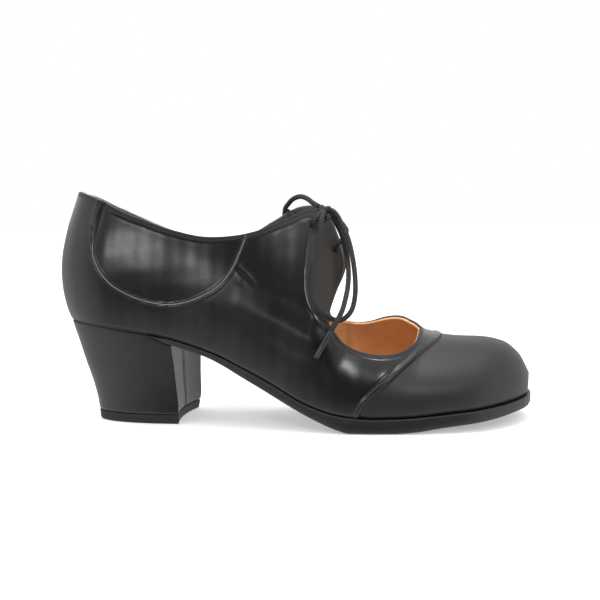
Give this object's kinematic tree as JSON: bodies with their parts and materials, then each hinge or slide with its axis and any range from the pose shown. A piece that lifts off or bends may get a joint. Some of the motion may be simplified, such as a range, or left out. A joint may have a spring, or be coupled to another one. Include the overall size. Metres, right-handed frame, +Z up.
{
  "type": "laced flamenco shoe",
  "caption": "Black leather flamenco shoe for the right foot, cut low on the instep, with a leather-covered heel, a toe cap, a recessed side panel and a woven lace tied in a bow.",
  "frame": {"origin": "centre of the heel's ground face, on the floor", "axes": "+X towards the toe, +Y towards the inner side of the foot, +Z up"},
  "size_m": [0.248, 0.0899, 0.1215],
  "materials": {
    "upper_leather": "polished black calf, soft gloss",
    "lining_leather": "natural tan lining, matte",
    "sole_leather": "blackened sole edge, semi matte",
    "heel_leather": "black leather cover, satin",
    "lift": "dense black top-piece, matte",
    "lace": "tubular woven cord, matte black",
    "aglet": "shrunk film tip, glossy"
  },
  "bodies": {
    "root": {"upper": "upper_leather", "insole": "lining_leather", "outsole": "sole_leather", "heel_block": "heel_leather", "heel_lift": "lift", "lace_bar": "lace", "lace_knot": "lace", "lace_outer_loop": "lace", "lace_inner_loop": "lace", "lace_end": "lace", "lace_aglet": "aglet"}
  },
  "joints": []
}
